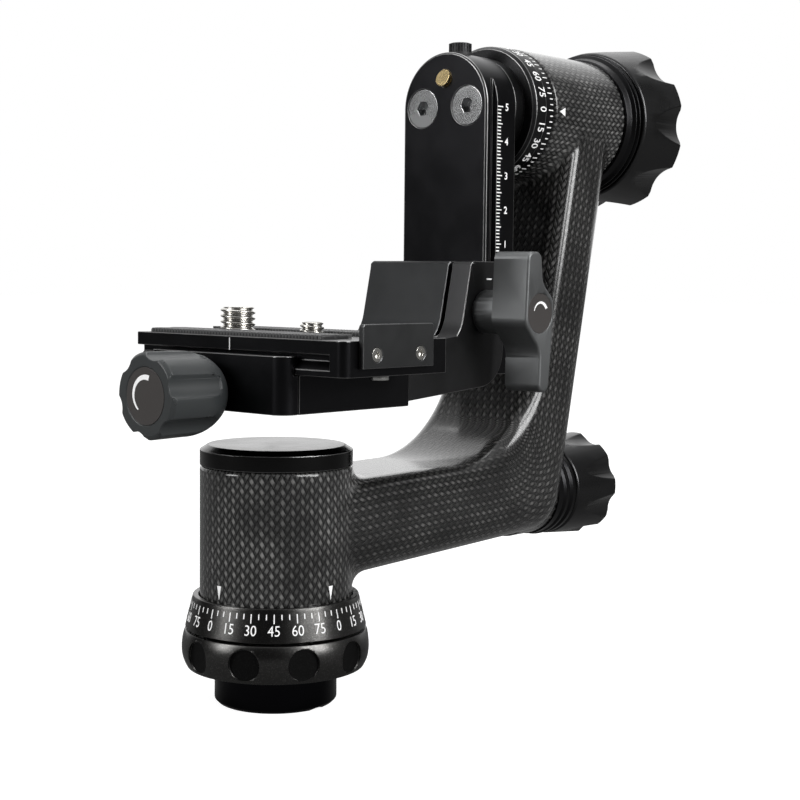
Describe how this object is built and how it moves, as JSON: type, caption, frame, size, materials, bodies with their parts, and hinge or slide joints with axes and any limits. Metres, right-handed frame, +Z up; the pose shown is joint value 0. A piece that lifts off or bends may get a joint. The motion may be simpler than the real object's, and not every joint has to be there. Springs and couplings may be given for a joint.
{
  "type": "gimbal tripod head",
  "caption": "Cantilever gimbal tripod head with pan and tilt axes, swing arm, sliding riser and quick-release clamp with a camera plate.",
  "frame": {"origin": "centre of the tripod socket's mouth, on the pan axis, in the plane of the base's underside", "axes": "+Z up along the pan axis; +X along the tilt axis from the pan axis towards the tilt knob; the camera plate slides along Y, with the lens end towards -Y"},
  "size_m": [0.2043, 0.0796, 0.1903],
  "materials": {
    "carbon": "woven twill under satin clear coat",
    "blasted_black": "fine bead-blasted black anodised",
    "smooth_black": "smooth black anodised with bright thin edges",
    "satin_grey": "satin dark grey anodised",
    "knob_black": "satin black anodised",
    "gloss_black": "glossy black anodised",
    "inner_aluminium": "machined",
    "steel": "bright nickel",
    "zinc": "satin zinc",
    "brass": "polished",
    "polymer": "matte",
    "rubber": "ribbed matte",
    "label": "printed satin film"
  },
  "bodies": {
    "base": {"mounting_spigot": "gloss_black", "thread_bush": "steel", "base_screws": "steel", "grip_ring": "blasted_black", "pan_dial": "blasted_black", "pan_spindle": "inner_aluminium", "spindle_nut": "inner_aluminium"},
    "frame": {"carbon_frame": "carbon", "column_cap": "blasted_black", "column_liner": "inner_aluminium", "pan_bearing_low": "steel", "pan_bearing_high": "steel", "lock_collar": "blasted_black", "lock_bush": "brass", "tilt_liner": "inner_aluminium", "tilt_bearing_inner": "steel", "tilt_bearing_outer": "steel", "drag_washer": "polymer", "tilt_collar": "blasted_black"},
    "brake": {"push_rod": "steel", "brake_shoe": "polymer"},
    "pan_lock": {"pan_knob": "knob_black", "pan_lock_screw": "steel"},
    "swing": {"swing_arm": "smooth_black", "arm_screws": "zinc", "tilt_shaft": "inner_aluminium", "tilt_dial": "blasted_black", "low_stop_screw": "steel", "button_spring": "steel"},
    "tilt_lock": {"tilt_knob": "knob_black", "tilt_knob_insert": "brass"},
    "stop_pin_slide": {"stop_pin": "brass"},
    "button": {"stop_button": "satin_grey"},
    "riser": {"riser_body": "smooth_black", "jaw_pins": "steel", "clamp_body": "smooth_black", "clamp_fixing_screws": "steel", "guide_pins": "steel"},
    "riser_clamp": {"riser_jaw": "smooth_black"},
    "lever": {"wing_lever": "satin_grey", "lever_screw": "steel", "lever_label": "label"},
    "quick_release_jaw": {"clamp_jaw": "smooth_black"},
    "quick_release_knob": {"clamp_knob": "satin_grey", "clamp_screw": "steel", "clamp_label": "label"},
    "plate": {"camera_plate": "smooth_black", "plate_pad_front": "rubber", "plate_pad_rear": "rubber", "plate_stops": "steel", "stop_bracket": "satin_grey", "bracket_screws": "steel"},
    "large_screw": {"camera_screw_large": "steel"},
    "small_screw": {"camera_screw_small": "steel"}
  },
  "joints": [
    {"name": "pan", "type": "hinge", "parent": "base", "child": "frame", "pos_m": [0, 0, 0], "axis": [0, 0, 1], "continuous": true},
    {"name": "brake_slide", "type": "slide", "parent": "frame", "child": "brake", "axis": [-1, 0, 0], "range_m": [-0.0003125, 0.0002986]},
    {"name": "pan_lock_turn", "type": "hinge", "parent": "brake", "child": "pan_lock", "pos_m": [0.12, 0, 0.0468], "axis": [-1, 0, 0], "range_deg": [-90.1, 86.1]},
    {"name": "tilt", "type": "hinge", "parent": "frame", "child": "swing", "pos_m": [0.096, 0, 0.1647], "axis": [1, 0, 0], "continuous": true},
    {"name": "tilt_lock_turn", "type": "hinge", "parent": "swing", "child": "tilt_lock", "pos_m": [0.145, 0, 0.1647], "axis": [1, 0, 0], "range_deg": [0, 270]},
    {"name": "button_press", "type": "slide", "parent": "swing", "child": "button", "axis": [0, 0, -1], "range_m": [0, 0.0016], "stiffness_N_per_m": 900, "springref_m": -0.0012, "deforming": ["button_spring"]},
    {"name": "stop_pin_retract", "type": "slide", "parent": "swing", "child": "stop_pin_slide", "axis": [1, 0, 0], "range_m": [0, 0.0016]},
    {"name": "riser_height", "type": "slide", "parent": "swing", "child": "riser", "axis": [0, 0, 1], "range_m": [0, 0.05]},
    {"name": "riser_jaw_open", "type": "slide", "parent": "riser", "child": "riser_clamp", "axis": [0, -1, 0], "range_m": [0, 0.001]},
    {"name": "lever_turn", "type": "hinge", "parent": "riser_clamp", "child": "lever", "pos_m": [0.0644, -0.025, 0.1047], "axis": [0, -1, 0], "range_deg": [0, 450.5]},
    {"name": "quick_release_open", "type": "slide", "parent": "riser", "child": "quick_release_jaw", "axis": [-1, 0, 0], "range_m": [0, 0.0024]},
    {"name": "quick_release_turn", "type": "hinge", "parent": "quick_release_jaw", "child": "quick_release_knob", "pos_m": [-0.03, 0, 0.0846], "axis": [-1, 0, 0], "range_deg": [0, 864.5]},
    {"name": "plate_slide", "type": "slide", "parent": "riser", "child": "plate", "axis": [0, 1, 0], "range_m": [-0.0025, 0.0085]},
    {"name": "large_screw_turn", "type": "hinge", "parent": "plate", "child": "large_screw", "pos_m": [0, 0.0154, 0.095], "axis": [0, 0, 1], "continuous": true},
    {"name": "small_screw_turn", "type": "hinge", "parent": "plate", "child": "small_screw", "pos_m": [0, -0.0131, 0.095], "axis": [0, 0, 1], "continuous": true}
  ],
  "couplings": [
    {"joint": "pan_lock_turn", "follows": "brake_slide", "rad_per_m": 5026.5},
    {"joint": "stop_pin_retract", "follows": "button_press", "ratio": 1},
    {"joint": "lever_turn", "follows": "riser_jaw_open", "rad_per_m": 7854},
    {"joint": "quick_release_turn", "follows": "quick_release_open", "rad_per_m": 6283.2}
  ]
}
